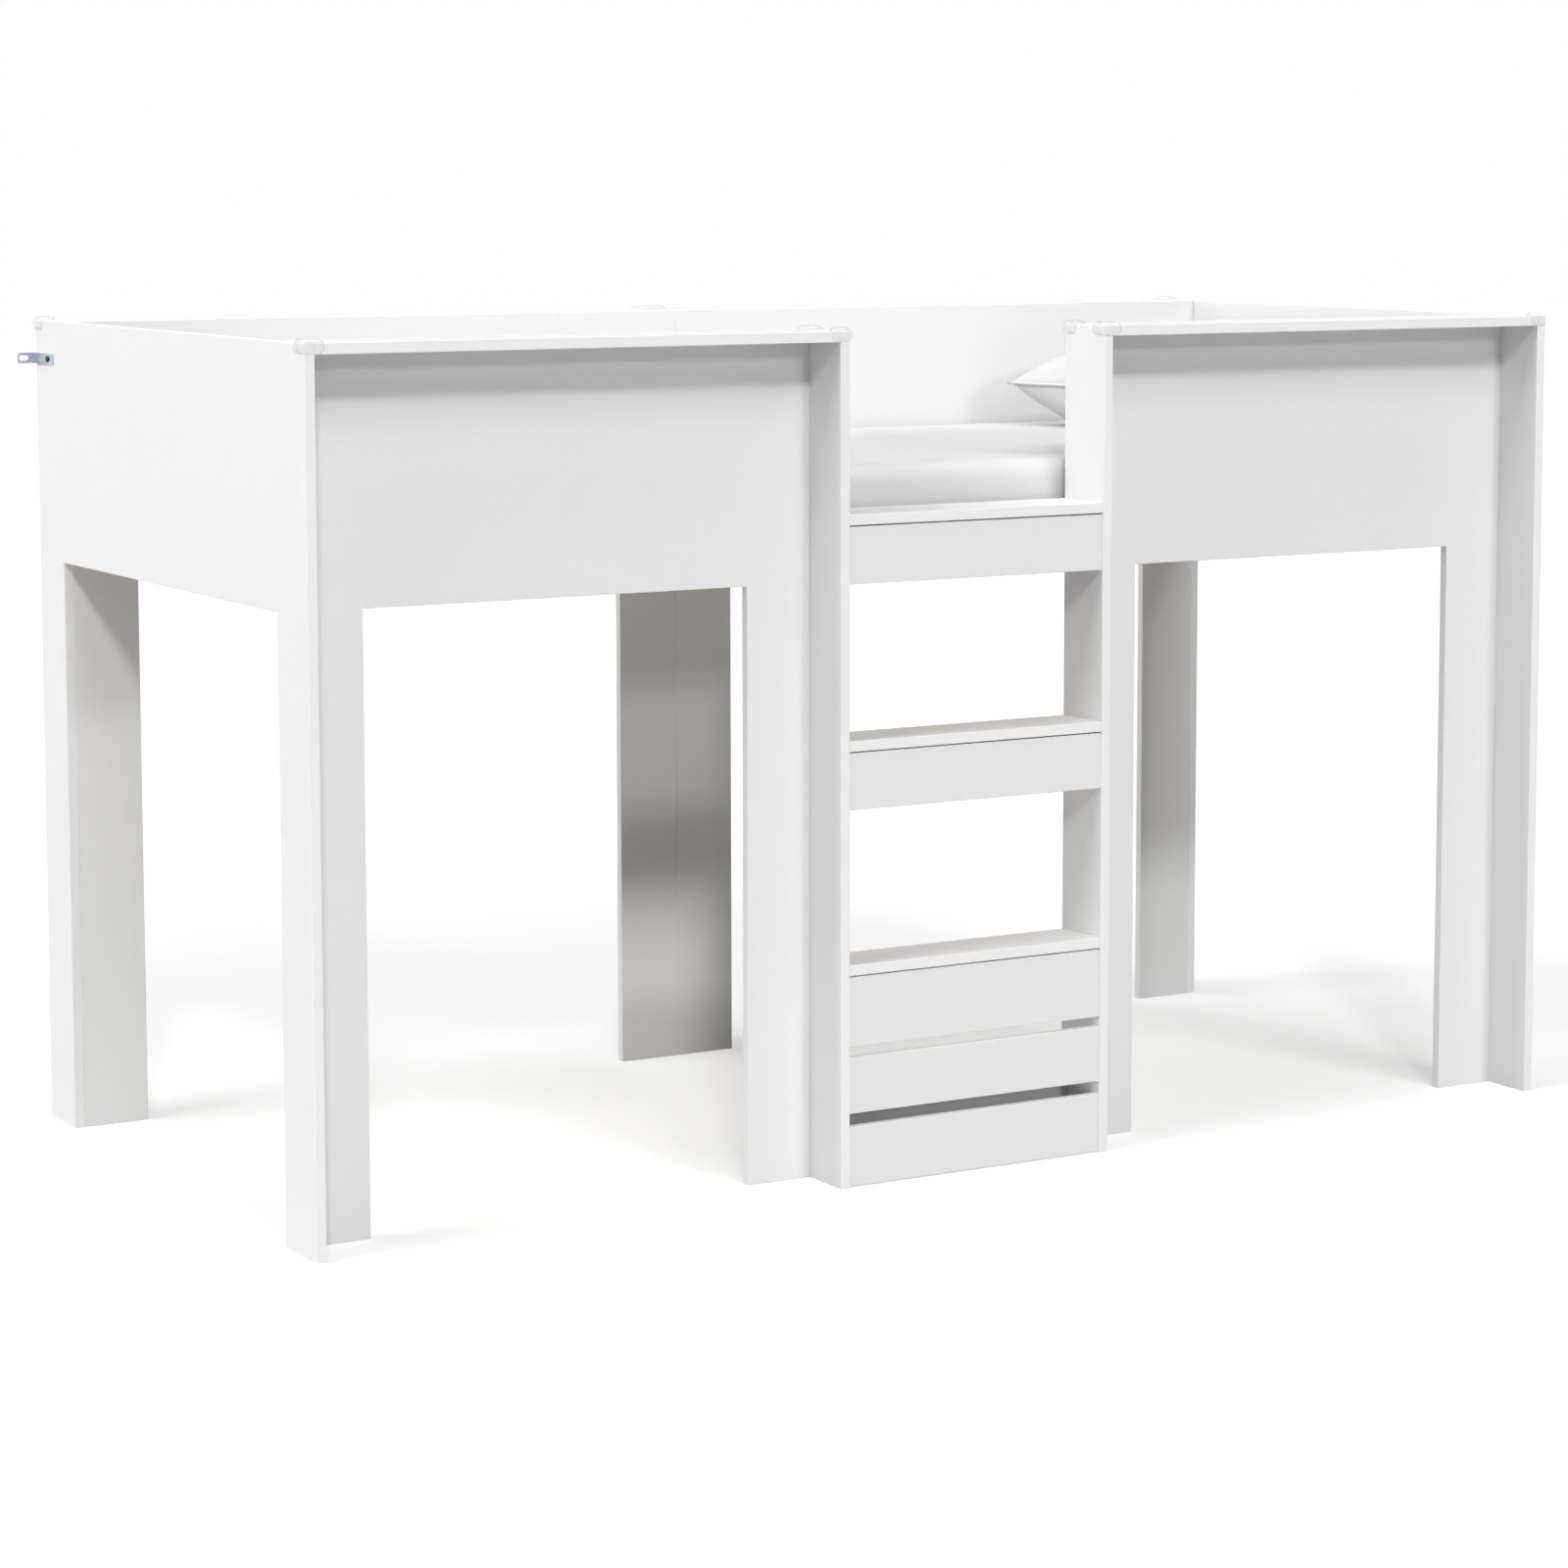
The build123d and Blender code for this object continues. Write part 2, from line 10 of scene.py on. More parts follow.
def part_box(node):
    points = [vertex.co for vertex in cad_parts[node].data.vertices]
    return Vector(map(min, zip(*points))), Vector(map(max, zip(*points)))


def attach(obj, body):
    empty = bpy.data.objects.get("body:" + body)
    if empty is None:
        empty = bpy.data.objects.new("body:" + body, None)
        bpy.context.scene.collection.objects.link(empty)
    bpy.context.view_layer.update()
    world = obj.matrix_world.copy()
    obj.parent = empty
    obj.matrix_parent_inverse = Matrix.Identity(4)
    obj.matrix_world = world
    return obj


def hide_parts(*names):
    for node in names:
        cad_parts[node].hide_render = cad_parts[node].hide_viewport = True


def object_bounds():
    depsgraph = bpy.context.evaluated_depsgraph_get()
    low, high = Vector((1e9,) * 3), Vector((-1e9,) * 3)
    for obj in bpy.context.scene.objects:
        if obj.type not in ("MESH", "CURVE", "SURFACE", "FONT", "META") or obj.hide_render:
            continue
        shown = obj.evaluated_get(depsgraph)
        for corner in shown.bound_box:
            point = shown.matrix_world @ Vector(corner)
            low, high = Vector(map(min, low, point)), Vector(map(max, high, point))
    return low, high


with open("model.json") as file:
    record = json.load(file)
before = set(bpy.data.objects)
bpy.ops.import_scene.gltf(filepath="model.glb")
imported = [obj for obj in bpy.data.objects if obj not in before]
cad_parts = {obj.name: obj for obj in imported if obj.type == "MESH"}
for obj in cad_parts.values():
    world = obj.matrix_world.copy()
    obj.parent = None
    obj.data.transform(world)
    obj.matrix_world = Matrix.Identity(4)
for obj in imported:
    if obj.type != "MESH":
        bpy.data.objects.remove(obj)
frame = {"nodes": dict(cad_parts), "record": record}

# A low children's loft bed. The boards, fasteners, corner guards and brackets are the CAD frame's own nodes
# with better materials. The mattress, its seam, the pillow and its piping are made here. Metres, +Z up.

CAD_BOX = [list(corner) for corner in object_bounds()]
NODES = frame["nodes"]
SLOT_OF = {part["node"]: part["material_slot"] for part in frame["record"]["subparts"]}
MM = 0.001

# ---- white boards: tones from 0, black, to 1, white ----
BOARD_WHITE = 0.74
BOARD_CLOUD = 0.012
BOARD_MOTTLE = 0.05
BOARD_MOTTLE_SHARE = 0.12
BOARD_ROUGHNESS = (0.36, 0.50)
BOARD_IOR = 1.48
EDGE_BAND_LIGHTER = 0.06
EDGE_BAND_BELOW = 0.72
EDGE_BAND_ROUGHNESS = 0.34

# ---- wood ----
WOOD_ALONG_GRAIN = 0.6
WOOD_ACROSS_GRAIN = 9.0
WOOD_RINGS = 9.0
WOOD_RING_SHARPNESS = 3.0
WOOD_PORE_SHARE = 0.35
WOOD_ROUGHNESS = (0.45, 0.65)

# ---- metal and clear guards ----
SPANGLE_DARKER = 0.82
GUARD_ROUGHNESS = (0.06, 0.18)
GUARD_TONES = (0.80, 0.30)
GUARD_RIM_SHARPNESS = 3.0
GUARD_ALPHA = (0.06, 0.75)
GUARD_HAZE = 0.02
GUARD_IOR = 1.45

# ---- cloth ----
CLOTH_SHEEN = 0.08
CLOTH_SHEEN_ROUGHNESS = 0.5
CLOTH_SLUB = 0.8
CLOTH_THREAD_SHADES = (0.35, 0.65)
CLOTH_ROUGHNESS = (0.82, 0.95)

# ---- mattress ----
MATTRESS_TONES = (0.62, 0.57)
MATTRESS_THREAD = 1.1 * MM
MATTRESS_INSET = 2.5 * MM
MATTRESS_BEVEL = 24 * MM
MATTRESS_BEVEL_STEPS = 6
MATTRESS_VOXEL = 11 * MM
MATTRESS_SWELL = 3.5 * MM
SEAM_UP = 24 * MM
SEAM_RADIUS = 1.5 * MM
SEAM_CORNER = 60 * MM
SEAM_CORNER_TURN = 6
SEAM_STEP = 12 * MM

# ---- pillow ----
PILLOW_TONES = (0.66, 0.61)
PILLOW_THREAD = 0.8 * MM
PILLOW_ROWS = 44
PILLOW_COLUMNS = 76
PILLOW_FIRST_LIFT = 0.55
PILLOW_SQUARENESS = 4
PILLOW_FULLNESS = 0.72
PILLOW_SIDE_PULL = 0.035
PILLOW_CORNER_REACH = 1.5
PILLOW_SWELL = 30 * MM
PILLOW_SINK = 12 * MM
PIPING_RADIUS = 2.4 * MM
PIPING_ROOM = 3 * MM
TUBE_SIDES = 10

# ---- camera: a three-quarter view from the front left ----
CAMERA_PLACE = (-3.103, -5.389, 1.412)
CAMERA_YAW = 30.479
CAMERA_PITCH = -6.245
CAMERA_LENS = 95.09
CAMERA_SHIFT = (-0.0359, -0.100)
CAMERA_REACH = 200

# ---- studio light ----
# Each distant light is (name, bearing, height, softness, strength). A bearing of 0 is the ladder side and
# -90 the left end. Angles are in degrees. A strength of 1 lights a white face that is turned to it fully.
LIGHTS = [
    ("key_light", -25, 34, 6, 0.335),
    ("left_light", -90, 45, 35, 0.685),
    ("front_light", 0, 45, 28, 0.405),
    ("rear_light", -135, 12, 35, 0.355),
    ("low_light", 8, 15.5, 5, 0.14),
    ("top_light", 0, 90, 16, 0.20),
]
# A strip lamp above the front edge of the bed fills the space over the mattress.
WELL_LAMP_UP = 0.25
WELL_LAMP_AIM_UP = 0.09
WELL_LAMP_SIZE = (2.0, 0.10)
WELL_LAMP_SPREAD = 60
WELL_LAMP_POWER = 0.62
MIRRORED_SKY = 0.8
FLOOR_SIZE = 60.0
FLOOR_ALBEDO = 0.50
FLOOR_CLOUD = 0.02
FLOOR_GLOW = 0.50


# ---- node helpers ----
class Shader:
    """A material's or world's node tree, with short calls for the nodes used here."""

    MIX_FACTOR, MIX_FIRST, MIX_SECOND, MIX_RESULT = 0, 6, 7, 2

    def __init__(self, tree):
        self.tree = tree
        self.tree.nodes.clear()

    def node(self, kind, **inputs):
        made = self.tree.nodes.new(kind)
        for name, value in inputs.items():
            self.set(made, name, value)
        return made

    def set(self, node, name, value):
        """Links an output to the named or numbered input, or gives the input a plain value."""
        socket = node.inputs[name]
        if isinstance(value, bpy.types.NodeSocket):
            self.tree.links.new(value, socket)
        else:
            socket.default_value = value

    def math(self, operation, first, second=0.0, clamp=False):
        made = self.tree.nodes.new("ShaderNodeMath")
        made.operation = operation
        made.use_clamp = clamp
        self.set(made, 0, first)
        self.set(made, 1, second)
        return made.outputs[0]

    def mix(self, factor, first, second):
        made = self.tree.nodes.new("ShaderNodeMix")
        made.data_type = "RGBA"
        self.set(made, self.MIX_FACTOR, factor)
        self.set(made, self.MIX_FIRST, first)
        self.set(made, self.MIX_SECOND, second)
        return made.outputs[self.MIX_RESULT]

    def lerp(self, factor, low, high):
        """Maps 0..1 to low..high."""
        made = self.tree.nodes.new("ShaderNodeMapRange")
        self.set(made, "Value", factor)
        self.set(made, "To Min", low)
        self.set(made, "To Max", high)
        return made.outputs[0]

    def noise(self, coords, scale, detail=2.0, rough=0.5, stretch=(1, 1, 1)):
        mapping = self.node("ShaderNodeMapping", Vector=coords, Scale=stretch)
        made = self.node("ShaderNodeTexNoise", Scale=scale, Detail=detail, Roughness=rough)
        self.set(made, "Vector", mapping.outputs[0])
        return made.outputs["Fac"]

    def bump(self, height, distance, strength, normal=None):
        made = self.node("ShaderNodeBump", Strength=strength, Distance=distance, Height=height)
        if normal is not None:
            self.set(made, "Normal", normal)
        return made.outputs[0]


def grey(value):
    return (value, value, value, 1.0)


def new_material(name):
    material = bpy.data.materials.new(name)
    material.use_nodes = True
    shader = Shader(material.node_tree)
    surface = shader.node("ShaderNodeBsdfPrincipled")
    shader.node("ShaderNodeOutputMaterial", Surface=surface.outputs[0])
    coords = shader.node("ShaderNodeTexCoord")
    return material, shader, surface, coords


def assign(obj, material):
    obj.data.materials.clear()
    obj.data.materials.append(material)


# ---- materials of the frame ----
def white_board(axis):
    """Satin white foil on chipboard with a fine pearl texture; its edges carry a smoother, lighter band."""
    material, shader, surface, coords = new_material(f"white_board_{axis}")
    place = coords.outputs["Object"]
    facing = shader.node("ShaderNodeSeparateXYZ", Vector=coords.outputs["Normal"])
    broad = shader.math("ABSOLUTE", facing.outputs[axis])
    band = shader.math("LESS_THAN", broad, EDGE_BAND_BELOW)
    cloud = shader.noise(place, scale=3.0, detail=4.0, rough=0.6)
    mottle = shader.noise(place, scale=60.0, detail=3.0, rough=0.6)
    face = shader.mix(cloud, grey(BOARD_WHITE - BOARD_CLOUD), grey(BOARD_WHITE + BOARD_CLOUD))
    mottled = shader.lerp(mottle, 0.0, BOARD_MOTTLE_SHARE)
    face = shader.mix(mottled, face, grey(BOARD_WHITE - BOARD_MOTTLE))
    tone = shader.mix(band, face, grey(BOARD_WHITE + EDGE_BAND_LIGHTER))
    shader.set(surface, "Base Color", tone)
    face_rough = shader.lerp(mottle, *BOARD_ROUGHNESS)
    shader.set(surface, "Roughness", shader.lerp(band, face_rough, EDGE_BAND_ROUGHNESS))
    pearl = shader.noise(place, scale=1400.0, detail=2.0, rough=0.55)
    waviness = shader.noise(place, scale=35.0)
    normal = shader.bump(pearl, distance=0.03 * MM, strength=0.5)
    normal = shader.bump(waviness, distance=0.10 * MM, strength=0.35, normal=normal)
    shader.set(surface, "Normal", normal)
    surface.inputs["IOR"].default_value = BOARD_IOR
    return material


def softwood(name, stretch, light, dark):
    """Planed softwood: growth rings drawn out along the grain, fine pores and a soft sheen."""
    material, shader, surface, coords = new_material(name)
    place = coords.outputs["Object"]
    warp = shader.noise(place, scale=5.0, detail=3.0, stretch=stretch)
    rings = shader.math("FRACT", shader.math("MULTIPLY", warp, WOOD_RINGS))
    ring_line = shader.math("POWER", rings, WOOD_RING_SHARPNESS)
    pores = shader.noise(place, scale=120.0, detail=3.0, rough=0.65, stretch=stretch)
    tone = shader.mix(ring_line, light, dark)
    tone = shader.mix(shader.lerp(pores, 0.0, WOOD_PORE_SHARE), tone, dark)
    shader.set(surface, "Base Color", tone)
    shader.set(surface, "Roughness", shader.lerp(pores, *WOOD_ROUGHNESS))
    shader.set(surface, "Normal", shader.bump(pores, distance=0.15 * MM, strength=0.5))
    return material


def metal(name, colour, low_rough, high_rough, grain):
    """Plated or cast metal with a faint crystalline spangle."""
    material, shader, surface, coords = new_material(name)
    spangle = shader.noise(coords.outputs["Object"], scale=grain, detail=3.0, rough=0.7)
    darker = tuple(SPANGLE_DARKER * value for value in colour[:3]) + (1,)
    shader.set(surface, "Base Color", shader.mix(spangle, colour, darker))
    shader.set(surface, "Roughness", shader.lerp(spangle, low_rough, high_rough))
    shader.set(surface, "Normal", shader.bump(spangle, distance=0.02 * MM, strength=0.4))
    surface.inputs["Metallic"].default_value = 1.0
    return material


def clear_plastic():
    """Soft clear plastic: nearly clear where it is seen square on, milky grey along its rounded rims."""
    material, shader, surface, coords = new_material("clear_guard")
    haze = shader.noise(coords.outputs["Object"], scale=90.0, detail=3.0, rough=0.6)
    shader.set(surface, "Roughness", shader.lerp(haze, *GUARD_ROUGHNESS))
    shader.set(surface, "Normal", shader.bump(haze, distance=0.2 * MM, strength=0.3))
    rim = shader.node("ShaderNodeLayerWeight", Blend=0.5)
    edge = shader.math("POWER", rim.outputs["Facing"], GUARD_RIM_SHARPNESS)
    square_on, rim_tone = GUARD_TONES
    shader.set(surface, "Base Color", shader.mix(edge, grey(square_on), grey(rim_tone)))
    thick = shader.lerp(edge, *GUARD_ALPHA)
    cloudy = shader.lerp(haze, -GUARD_HAZE, GUARD_HAZE)
    shader.set(surface, "Alpha", shader.math("ADD", thick, cloudy, clamp=True))
    surface.inputs["IOR"].default_value = GUARD_IOR
    return material


def axis_where(node, pick):
    """The axis (0, 1 or 2) along which a node is thinnest, pick=min, or longest, pick=max."""
    low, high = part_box(node)
    spans = [high[index] - low[index] for index in range(3)]
    return spans.index(pick(spans))


def dress_frame():
    """Gives every CAD node but the soft ones its procedural material."""
    pine = ((0.78, 0.62, 0.42, 1), (0.60, 0.42, 0.24, 1))
    beech = ((0.72, 0.54, 0.35, 1), (0.55, 0.38, 0.22, 1))
    along, across = WOOD_ALONG_GRAIN, WOOD_ACROSS_GRAIN
    boards = {axis: white_board(axis) for axis in range(3)}
    slats = {}
    for axis in range(3):
        stretch = tuple(along if index == axis else across for index in range(3))
        slats[axis] = softwood(f"slat_wood_{axis}", stretch, *pine)
    finishes = {
        "dowel_wood": softwood("dowel_wood", (across, along, across), *beech),
        "zinc_steel": metal("zinc_steel", (0.66, 0.69, 0.78, 1), 0.22, 0.38, grain=220.0),
        "cast_zinc": metal("cast_zinc", (0.56, 0.57, 0.60, 1), 0.38, 0.55, grain=500.0),
        "dark_steel": metal("dark_steel", (0.06, 0.06, 0.07, 1), 0.30, 0.50, grain=400.0),
        "clear_guard": clear_plastic(),
    }
    for name, obj in NODES.items():
        slot = SLOT_OF[name]
        if slot == "white_board":
            assign(obj, boards[axis_where(name, min)])
        elif slot == "slat_wood":
            assign(obj, slats[axis_where(name, max)])
        elif slot in finishes:
            assign(obj, finishes[slot])


# ---- cloth ----
def woven(name, thread, tones):
    """White cotton: two crossing sets of threads, slubs, soft creases and a fuzzy sheen."""
    material, shader, surface, coords = new_material(name)
    place = coords.outputs["Object"]
    split = shader.node("ShaderNodeSeparateXYZ", Vector=place)
    turn = 2 * math.pi / thread
    slub = shader.noise(place, scale=40.0, detail=3.0, rough=0.6)
    across = shader.math("ADD", split.outputs[0], split.outputs[2])
    along = shader.math("SUBTRACT", split.outputs[1], split.outputs[2])
    warp = shader.math("SINE", shader.math("MULTIPLY", across, turn))
    weft = shader.math("SINE", shader.math("MULTIPLY", along, turn))
    weave = shader.math("MULTIPLY", warp, weft)
    weave = shader.math("ADD", weave, shader.math("MULTIPLY", slub, CLOTH_SLUB))
    light, dark = tones
    tone = shader.mix(shader.lerp(weave, *CLOTH_THREAD_SHADES), grey(light), grey(dark))
    shader.set(surface, "Base Color", tone)
    shader.set(surface, "Roughness", shader.lerp(slub, *CLOTH_ROUGHNESS))
    crease = shader.noise(place, scale=7.0, detail=4.0, rough=0.55)
    normal = shader.bump(weave, distance=0.10 * MM, strength=0.5)
    shader.set(surface, "Normal", shader.bump(crease, distance=2.0 * MM, strength=0.25, normal=normal))
    surface.inputs["Sheen Weight"].default_value = CLOTH_SHEEN
    surface.inputs["Sheen Roughness"].default_value = CLOTH_SHEEN_ROUGHNESS
    return material


def mesh_object(name, verts, faces):
    mesh = bpy.data.meshes.new(name)
    mesh.from_pydata(verts, [], faces)
    mesh.update()
    obj = bpy.data.objects.new(name, mesh)
    bpy.context.scene.collection.objects.link(obj)
    return obj


def shade_smooth(obj):
    for polygon in obj.data.polygons:
        polygon.use_smooth = True


def subdivide_once(obj):
    smooth = obj.modifiers.new("smooth", "SUBSURF")
    smooth.levels = smooth.render_levels = 1


def apply_modifiers(obj):
    graph = bpy.context.evaluated_depsgraph_get()
    mesh = bpy.data.meshes.new_from_object(obj.evaluated_get(graph))
    obj.modifiers.clear()
    obj.data = mesh


def inflate(obj, pressure, frames, stiffness, cap):
    """Blows the closed mesh up as cloth, then lets no point end further than cap from where it started."""
    start = [vertex.co.copy() for vertex in obj.data.vertices]
    cloth = obj.modifiers.new("cloth", "CLOTH")
    cloth.settings.quality = 6
    cloth.settings.mass = 0.3
    cloth.settings.tension_stiffness = stiffness
    cloth.settings.compression_stiffness = stiffness
    cloth.settings.shear_stiffness = stiffness / 3
    cloth.settings.bending_stiffness = 0.4
    cloth.settings.air_damping = 4.0
    cloth.settings.use_pressure = True
    cloth.settings.uniform_pressure_force = pressure
    cloth.settings.effector_weights.gravity = 0.0
    cloth.collision_settings.use_collision = False
    cloth.point_cache.frame_start = 1
    cloth.point_cache.frame_end = frames
    for step in range(1, frames + 1):
        bpy.context.scene.frame_set(step)
    apply_modifiers(obj)
    bpy.context.scene.frame_set(1)
    for vertex, home in zip(obj.data.vertices, start):
        moved = vertex.co - home
        if moved.length > cap:
            vertex.co = home + moved * (cap / moved.length)


def make_tube(name, loop, radius, material):
    """A round cord sewn into a seam, as a closed tube along the loop."""
    count = len(loop)
    verts, faces = [], []
    for number, point in enumerate(loop):
        run = (loop[(number + 1) % count] - loop[number - 1]).normalized()
        side = run.cross(Vector((0, 0, 1))).normalized()
        up = side.cross(run)
        for step in range(TUBE_SIDES):
            turn = 2 * math.pi * step / TUBE_SIDES
            verts.append(point + side * (radius * math.cos(turn)) + up * (radius * math.sin(turn)))
    for number in range(count):
        here, ahead = number * TUBE_SIDES, (number + 1) % count * TUBE_SIDES
        for step in range(TUBE_SIDES):
            beside = (step + 1) % TUBE_SIDES
            faces.append([here + step, here + beside, ahead + beside, ahead + step])
    tube = mesh_object(name, verts, faces)
    shade_smooth(tube)
    assign(tube, material)
    return tube


# ---- mattress ----
def make_mattress(material):
    """A foam mattress in a sewn cover: soft crowned faces and rounded borders."""
    low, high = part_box("mattress")
    mattress = mattress_block(low, high)
    inflate(mattress, pressure=3.0, frames=16, stiffness=40.0, cap=MATTRESS_SWELL)
    for vertex in mattress.data.vertices:
        for axis in range(3):
            vertex.co[axis] = min(max(vertex.co[axis], low[axis]), high[axis])
    relax = mattress.modifiers.new("relax", "SMOOTH")
    relax.factor = 0.5
    relax.iterations = 4
    subdivide_once(mattress)
    apply_modifiers(mattress)
    shade_smooth(mattress)
    assign(mattress, material)
    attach(mattress, "mattress")
    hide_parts("mattress")
    loop = border_loop(mattress, low, high, low.z + SEAM_UP)
    seam = make_tube("mattress_seam", loop, SEAM_RADIUS, material)
    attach(seam, "mattress")


def mattress_block(low, high):
    """The mattress before it swells: a block with rounded edges, remeshed evenly."""
    centre = (low + high) / 2
    half = (high - low) / 2 - Vector((MATTRESS_INSET, MATTRESS_INSET, MATTRESS_INSET / 4))
    mesh = bpy.data.meshes.new("mattress_cushion")
    form = bmesh.new()
    bmesh.ops.create_cube(form, size=2.0)
    for vertex in form.verts:
        vertex.co = Vector(centre[axis] + vertex.co[axis] * half[axis] for axis in range(3))
    bmesh.ops.bevel(
        form,
        geom=form.edges[:],
        offset=MATTRESS_BEVEL,
        segments=MATTRESS_BEVEL_STEPS,
        profile=0.5,
        affect="EDGES",
    )
    form.to_mesh(mesh)
    form.free()
    mattress = bpy.data.objects.new("mattress_cushion", mesh)
    bpy.context.scene.collection.objects.link(mattress)
    remesh = mattress.modifiers.new("remesh", "REMESH")
    remesh.mode = "VOXEL"
    remesh.voxel_size = MATTRESS_VOXEL
    apply_modifiers(mattress)
    return mattress


def border_loop(obj, low, high, level):
    """Points round the sides of a cushion at one height, on its surface."""
    centre, half = (low + high) / 2, (high - low) / 2
    outline = []
    for turn, (side_x, side_y) in enumerate(((1, 1), (-1, 1), (-1, -1), (1, -1))):
        pivot_x = centre.x + side_x * (half.x - SEAM_CORNER)
        pivot_y = centre.y + side_y * (half.y - SEAM_CORNER)
        pivot = Vector((pivot_x, pivot_y, level))
        for share in range(0, 91, SEAM_CORNER_TURN):
            angle = math.radians(90 * turn + share)
            outline.append((pivot, Vector((math.cos(angle), math.sin(angle), 0))))
        run = 2 * (half.x if turn % 2 == 0 else half.y) - 2 * SEAM_CORNER
        along = Vector((-side_x, 0, 0)) if turn % 2 == 0 else Vector((0, -side_y, 0))
        outwards = outline[-1][1]
        count = int(run / SEAM_STEP)
        for number in range(1, count):
            outline.append((pivot + along * (run * number / count), outwards))
    tree = BVHTree.FromObject(obj, bpy.context.evaluated_depsgraph_get())
    return [tree.ray_cast(start, outwards)[0] for start, outwards in outline]


# ---- pillow ----
def make_pillow(material):
    """Two panels sewn together along one seam, blown up and then laid on the mattress."""
    low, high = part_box("pillow")
    verts, faces, rim = pillow_form((low + high) / 2, (high - low) / 2)
    pillow = mesh_object("pillow_cushion", verts, faces)
    inflate(pillow, pressure=3.5, frames=24, stiffness=25.0, cap=PILLOW_SWELL)
    settle(pillow, low, high)
    seam = [pillow.data.vertices[number].co.copy() for number in rim]
    shade_smooth(pillow)
    subdivide_once(pillow)
    apply_modifiers(pillow)
    shade_smooth(pillow)
    assign(pillow, material)
    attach(pillow, "pillow")
    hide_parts("pillow")
    piping = make_tube("pillow_piping", seam, PIPING_RADIUS, material)
    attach(piping, "pillow")


def pillow_form(centre, half):
    """Two panels that share their rim: the points, the faces, and the rim's point numbers in order."""
    columns, rows = PILLOW_COLUMNS, PILLOW_ROWS
    verts, faces, index = [], [], {}
    for layer in (1, -1):
        for j in range(columns + 1):
            for i in range(rows + 1):
                if layer == -1 and (i in (0, rows) or j in (0, columns)):
                    index[layer, i, j] = index[1, i, j]
                    continue
                index[layer, i, j] = len(verts)
                verts.append(pillow_point(centre, half, layer, 2 * i / rows - 1, 2 * j / columns - 1))
    for layer in (1, -1):
        for j in range(columns):
            for i in range(rows):
                corners = [(i, j), (i + 1, j), (i + 1, j + 1), (i, j + 1)]
                face = [index[layer, a, b] for a, b in corners]
                faces.append(face if layer == 1 else face[::-1])
    rim = [index[1, i, 0] for i in range(rows)]
    rim += [index[1, rows, j] for j in range(columns)]
    rim += [index[1, i, columns] for i in range(rows, 0, -1)]
    rim += [index[1, 0, j] for j in range(columns, 0, -1)]
    return verts, faces, rim


def pillow_point(centre, half, layer, across, along):
    """A point of the unfilled pillow, -1..1 across and along it; its sides pull in between the corners."""
    lift = layer * PILLOW_FIRST_LIFT * half.z * pillow_half_height(across, along)
    near_rim = max(abs(across), abs(along)) ** PILLOW_SQUARENESS
    off_corner = 1 - abs(across * along) ** PILLOW_CORNER_REACH
    pull = 1 - PILLOW_SIDE_PULL * off_corner * near_rim
    return (centre.x + half.x * across * pull, centre.y + half.y * along * pull, centre.z + lift)


def pillow_half_height(across, along):
    """Height share of the resting pillow: full in the middle, thin at the seam."""
    return ((1 - across ** PILLOW_SQUARENESS) * (1 - along ** PILLOW_SQUARENESS)) ** PILLOW_FULLNESS


def settle(obj, low, high):
    """Fits the blown-up form to its box, flat where it lies on the mattress."""
    centre, half = (low + high) / 2, (high - low) / 2
    seam_z = centre.z
    vertices = obj.data.vertices
    tops = max(vertex.co.z for vertex in vertices)
    lows = min(vertex.co.z for vertex in vertices)
    spread = [max(abs(vertex.co[axis] - centre[axis]) for vertex in vertices) for axis in (0, 1)]
    floor_z = low.z + PILLOW_SINK
    for vertex in vertices:
        place = vertex.co
        for axis in (0, 1):
            room = half[axis] - PIPING_ROOM
            place[axis] = centre[axis] + (place[axis] - centre[axis]) * room / spread[axis]
        if place.z > seam_z:
            place.z = seam_z + (place.z - seam_z) * (high.z - seam_z) / (tops - seam_z)
        else:
            place.z = seam_z + (place.z - seam_z) * (seam_z - low.z + PILLOW_SINK) / (seam_z - lows)
        below = floor_z - place.z
        if below > 0:
            place.z = low.z + PILLOW_SINK * math.exp(-below / PILLOW_SINK)


# ---- stage ----
def make_floor():
    """A plain pale floor. Its faint glow shows only to the camera, so it adds no light to the bed."""
    material, shader, surface, coords = new_material("floor_white")
    cloud = shader.noise(coords.outputs["Object"], scale=0.5)
    tone = shader.mix(cloud, grey(FLOOR_ALBEDO), grey(FLOOR_ALBEDO + FLOOR_CLOUD))
    shader.set(surface, "Base Color", tone)
    surface.inputs["Roughness"].default_value = 0.9
    surface.inputs["Specular IOR Level"].default_value = 0.0
    surface.inputs["Emission Color"].default_value = grey(1.0)
    ray = shader.node("ShaderNodeLightPath")
    glow = shader.math("MULTIPLY", ray.outputs["Is Camera Ray"], FLOOR_GLOW)
    shader.set(surface, "Emission Strength", glow)
    reach = FLOOR_SIZE / 2
    level = CAD_BOX[0][2]
    corners = [(x * reach, y * reach, level) for x, y in ((-1, -1), (1, -1), (1, 1), (-1, 1))]
    floor = mesh_object("floor", corners, [[0, 1, 2, 3]])
    assign(floor, material)


def make_backdrop():
    """A white surround to the camera, a little darker in mirrors, which gives no other light."""
    world = bpy.data.worlds.new("studio")
    bpy.context.scene.world = world
    world.use_nodes = True
    shader = Shader(world.node_tree)
    ray = shader.node("ShaderNodeLightPath")
    mirrored = shader.math("MULTIPLY", ray.outputs["Is Glossy Ray"], MIRRORED_SKY)
    strength = shader.math("MAXIMUM", ray.outputs["Is Camera Ray"], mirrored)
    white = shader.node("ShaderNodeBackground", Color=grey(1.0), Strength=strength)
    shader.node("ShaderNodeOutputWorld", Surface=white.outputs[0])


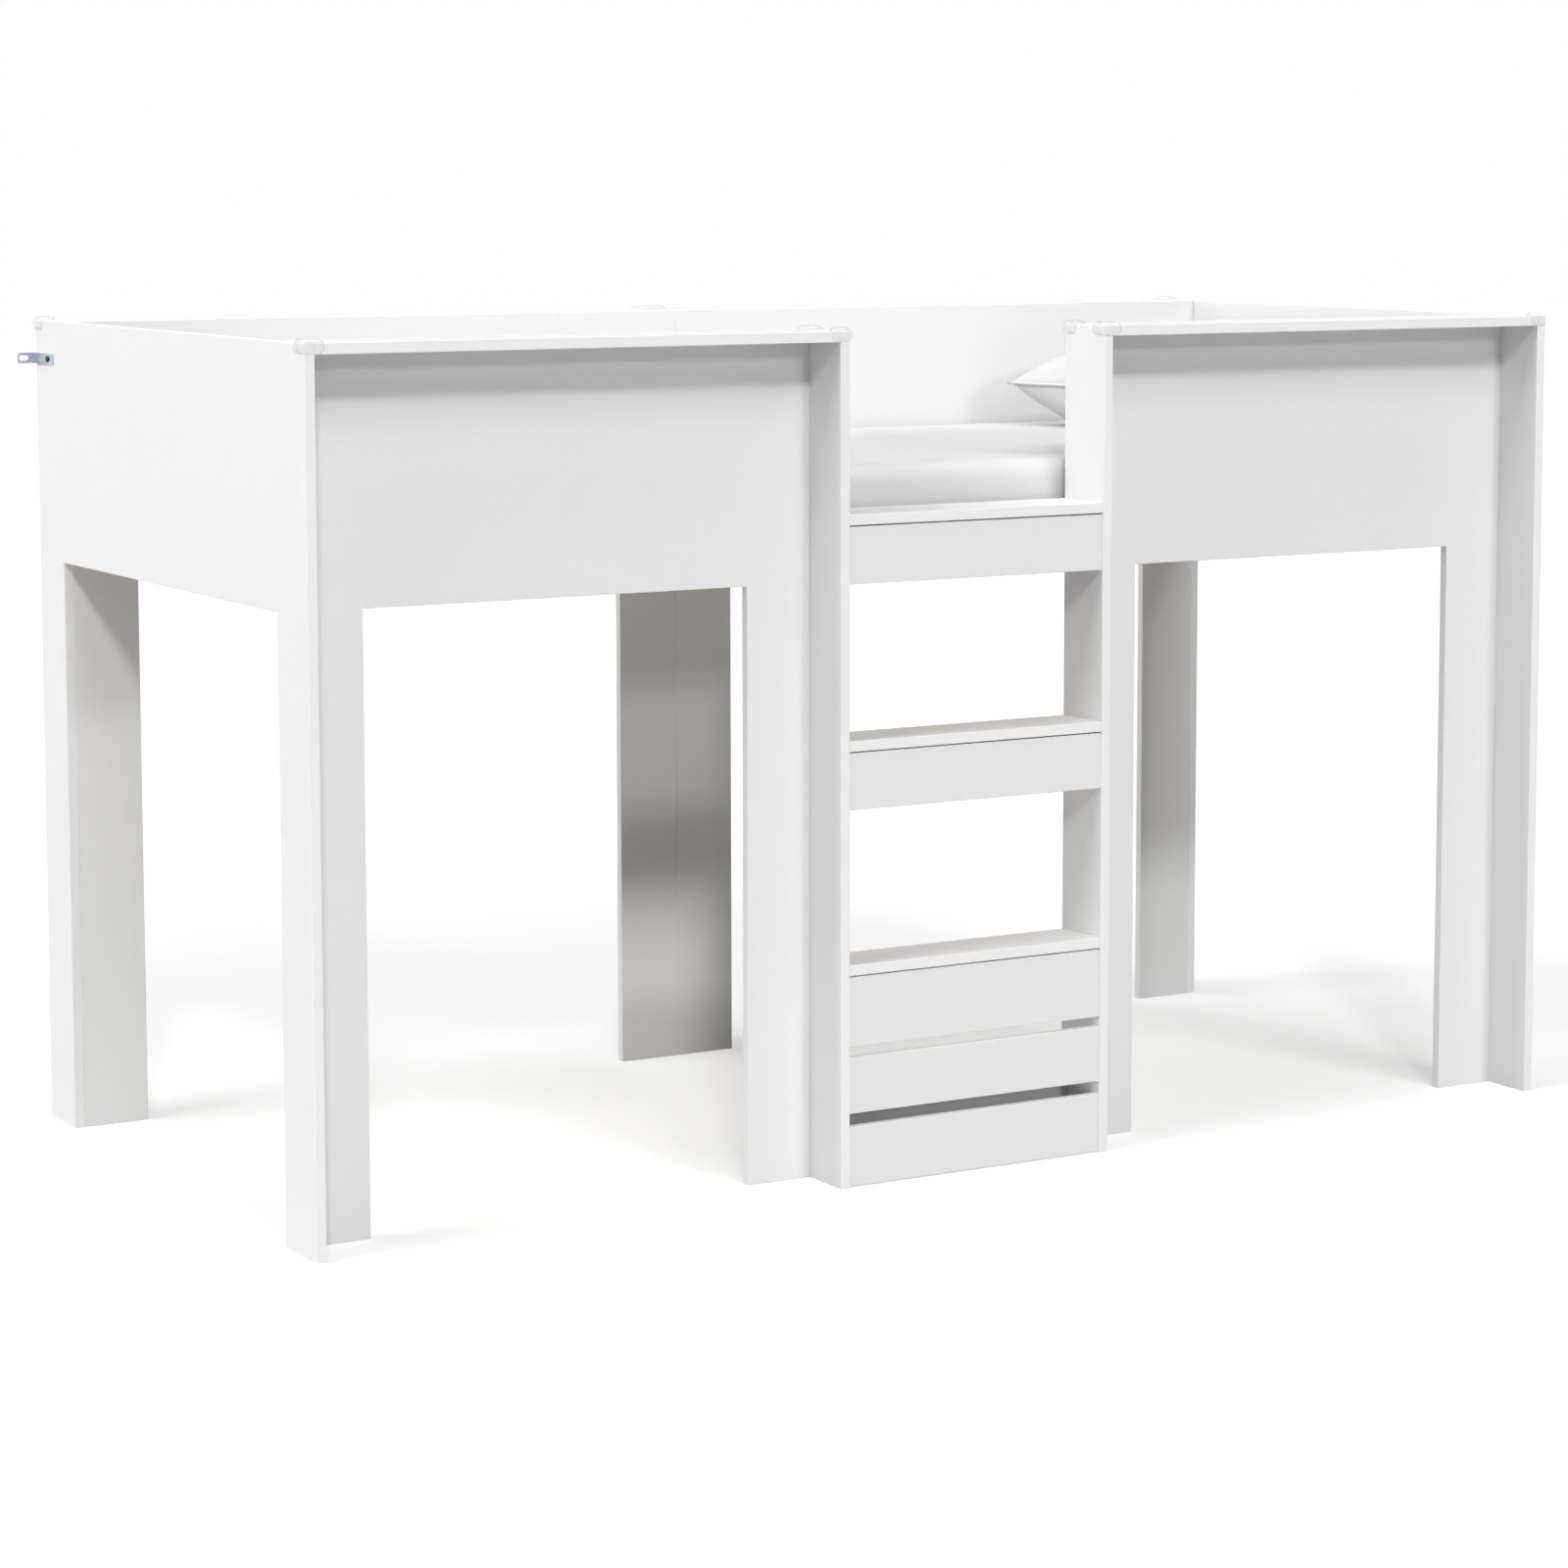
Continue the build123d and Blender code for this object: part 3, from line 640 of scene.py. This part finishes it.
def point_along(obj, direction):
    """Turns a light so that it shines along a direction."""
    obj.rotation_mode = "QUATERNION"
    obj.rotation_quaternion = direction.to_track_quat("-Z", "Y")


def make_light(name, bearing, height, softness, strength):
    """A distant soft light that shines from the given bearing and height."""
    light = bpy.data.objects.new(name, bpy.data.lights.new(name, "SUN"))
    light.data.energy = math.pi * strength
    light.data.angle = math.radians(softness)
    across, up = math.radians(bearing), math.radians(height)
    source = Vector((math.sin(across) * math.cos(up), -math.cos(across) * math.cos(up), math.sin(up)))
    point_along(light, -source)
    bpy.context.scene.collection.objects.link(light)


def make_well_lamp():
    """A strip lamp above the front edge of the bed, turned towards the inner face of the back panels."""
    low, high = CAD_BOX
    back_low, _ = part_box("back_left_panel")
    lamp = bpy.data.objects.new("well_lamp", bpy.data.lights.new("well_lamp", "AREA"))
    lamp.data.shape = "RECTANGLE"
    lamp.data.size, lamp.data.size_y = WELL_LAMP_SIZE
    lamp.data.energy = WELL_LAMP_POWER
    lamp.data.spread = math.radians(WELL_LAMP_SPREAD)
    lamp.location = (0, low[1], high[2] + WELL_LAMP_UP)
    point_along(lamp, Vector((0, back_low.y, high[2] + WELL_LAMP_AIM_UP)) - lamp.location)
    lamp.visible_camera = False
    bpy.context.scene.collection.objects.link(lamp)


def make_camera():
    camera = bpy.data.objects.new("camera", bpy.data.cameras.new("camera"))
    camera.location = CAMERA_PLACE
    camera.rotation_euler = (math.radians(90 + CAMERA_PITCH), 0, -math.radians(CAMERA_YAW))
    camera.data.lens = CAMERA_LENS
    camera.data.shift_x, camera.data.shift_y = CAMERA_SHIFT
    camera.data.clip_end = CAMERA_REACH
    bpy.context.scene.collection.objects.link(camera)
    bpy.context.scene.camera = camera


bpy.context.scene.view_settings.view_transform = "Standard"
dress_frame()
make_mattress(woven("mattress_fabric", MATTRESS_THREAD, MATTRESS_TONES))
make_pillow(woven("pillow_fabric", PILLOW_THREAD, PILLOW_TONES))
make_floor()
make_backdrop()
for settings in LIGHTS:
    make_light(*settings)
make_well_lamp()
make_camera()
